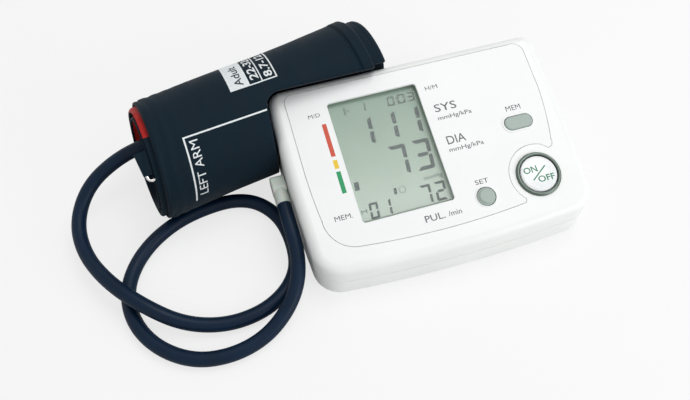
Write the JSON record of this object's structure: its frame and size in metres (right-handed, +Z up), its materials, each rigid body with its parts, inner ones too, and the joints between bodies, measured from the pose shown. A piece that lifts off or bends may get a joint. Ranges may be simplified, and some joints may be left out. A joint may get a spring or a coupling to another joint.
{
  "type": "arm cuff blood pressure monitor",
  "caption": "Wedge-shaped desk unit with a large display and push keys, joined by a curled air hose on a push-in plug to a rolled fabric arm cuff.",
  "frame": {"origin": "centre of the desk unit's base, on the surface that it stands on", "axes": "+X to the user's right, +Y to the unit's rear, +Z up"},
  "size_m": [0.2536, 0.1566, 0.0584],
  "materials": {
    "case_white": "satin white moulding",
    "panel_white": "fine matt white panel",
    "key_grey_green": "matt grey-green",
    "key_white": "white with a light sparkle",
    "ring_grey": "satin grey-green metallic",
    "lens_clear": "clear window",
    "lcd_grey_green": "grey-green reflective display",
    "inner_plastic": "natural moulding",
    "rubber_black": "soft black",
    "board_green": "green laminate",
    "chip_black": "matt black",
    "motor_steel": "plated steel",
    "shaft_steel": "ground steel",
    "contact_plate": "nickel-plated spring steel",
    "cell_sleeve": "plain printed sleeve",
    "screw_steel": "zinc-plated steel",
    "plug_translucent": "milky translucent",
    "hose_navy": "satin dark navy",
    "cloth_navy": "close-woven dark navy nylon",
    "lining_red": "red coated lining",
    "bladder_grey": "soft sheet",
    "hook_black": "hook and loop pile",
    "ring_chrome": "bright wire"
  },
  "bodies": {
    "monitor": {"upper_housing": "case_white", "face_panel": "panel_white", "lower_housing": "case_white", "lcd_lens": "lens_clear", "lcd_glass": "lcd_grey_green", "lcd_frame": "inner_plastic", "zebra_strips": "rubber_black", "circuit_board": "board_green", "board_chips": "chip_black", "key_switches": "chip_black", "buzzer": "chip_black", "pressure_sensor": "inner_plastic", "power_ring": "ring_grey", "pump_motor": "motor_steel", "pump_head": "inner_plastic", "exhaust_valve": "inner_plastic", "air_manifold": "inner_plastic", "inner_tubes": "bladder_grey", "air_socket": "inner_plastic", "battery_cells": "cell_sleeve", "battery_springs": "contact_plate", "battery_contacts": "contact_plate", "foot_pads": "rubber_black", "housing_screws": "screw_steel"},
    "power_key": {"power_button": "key_white"},
    "mem_key": {"mem_button": "key_grey_green"},
    "set_key": {"set_button": "key_grey_green"},
    "battery_door": {"battery_cover": "case_white"},
    "pump_rotor": {"motor_shaft": "shaft_steel", "pump_crank": "inner_plastic"},
    "cuff_set": {"air_plug": "plug_translucent", "plug_seal": "rubber_black", "air_hose": "hose_navy", "hose_port": "plug_translucent", "cuff_wrap": "cloth_navy", "cuff_sleeve": "cloth_navy", "cuff_bladder": "bladder_grey", "cuff_lining": "lining_red", "hook_patch": "hook_black", "loop_patch": "hook_black", "cuff_ring": "ring_chrome"}
  },
  "joints": [
    {"name": "power_press", "type": "slide", "parent": "monitor", "child": "power_key", "axis": [0, 0.23, -0.9732], "range_m": [0, 0.0008], "stiffness_N_per_m": 600, "springref_m": -0.0008},
    {"name": "mem_press", "type": "slide", "parent": "monitor", "child": "mem_key", "axis": [0, 0.23, -0.9732], "range_m": [0, 0.0006], "stiffness_N_per_m": 600, "springref_m": -0.0006},
    {"name": "set_press", "type": "slide", "parent": "monitor", "child": "set_key", "axis": [0, 0.23, -0.9732], "range_m": [0, 0.0006], "stiffness_N_per_m": 600, "springref_m": -0.0006},
    {"name": "battery_cover_slide", "type": "slide", "parent": "monitor", "child": "battery_door", "axis": [0, 1, 0], "range_m": [0, 0.062]},
    {"name": "pump_spin", "type": "hinge", "parent": "monitor", "child": "pump_rotor", "pos_m": [-0.022, 0.0324, 0.0154], "axis": [1, 0, 0], "continuous": true},
    {"name": "air_plug_pull", "type": "slide", "parent": "monitor", "child": "cuff_set", "axis": [-1, 0, 0], "range_m": [0, 0.014]}
  ]
}
